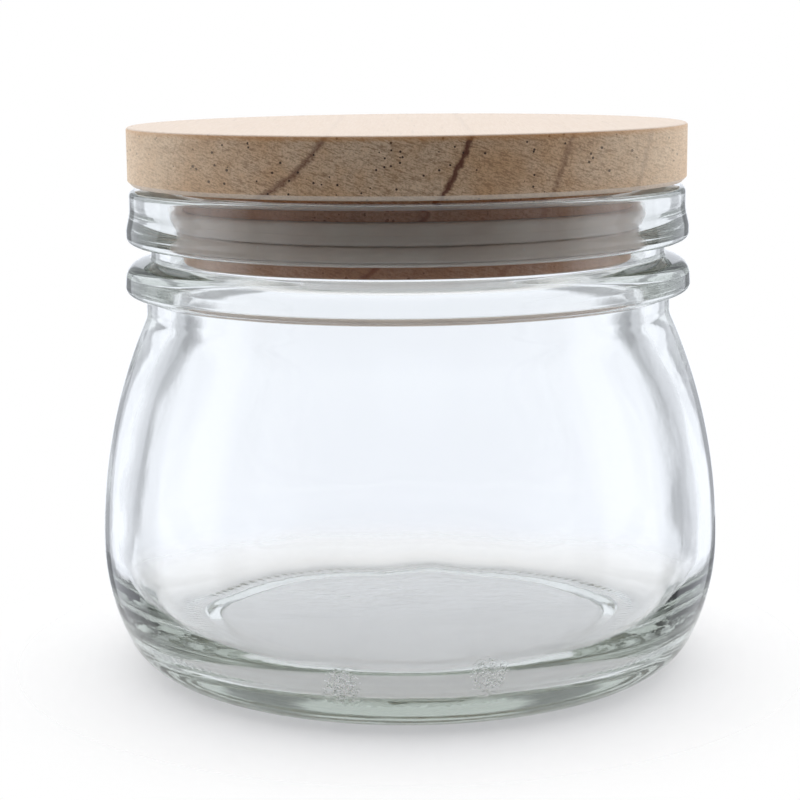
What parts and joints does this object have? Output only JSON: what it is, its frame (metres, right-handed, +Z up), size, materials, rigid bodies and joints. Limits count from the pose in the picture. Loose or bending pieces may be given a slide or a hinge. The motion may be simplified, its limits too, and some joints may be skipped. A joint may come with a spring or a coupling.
{
  "type": "glass jar with wooden lid",
  "caption": "Squat round clear glass storage jar with ringed neck and thick base, closed by a turned wooden lid with a flexible seal ring.",
  "frame": {"origin": "centre of the foot ring, on the surface that the jar stands on", "axes": "+Z up along the axis of the jar; the jar is round, so X and Y are equal across it, and the wood's fibres run along Y"},
  "size_m": [0.11, 0.11, 0.0952],
  "materials": {
    "glass": "clear, very faintly green where it is thick",
    "wood": "unfinished pine, sawn and lightly sanded",
    "seal": "translucent grey silicone, matt"
  },
  "bodies": {
    "root": {"jar": "glass", "lid": "wood", "gasket": "seal"}
  },
  "joints": []
}
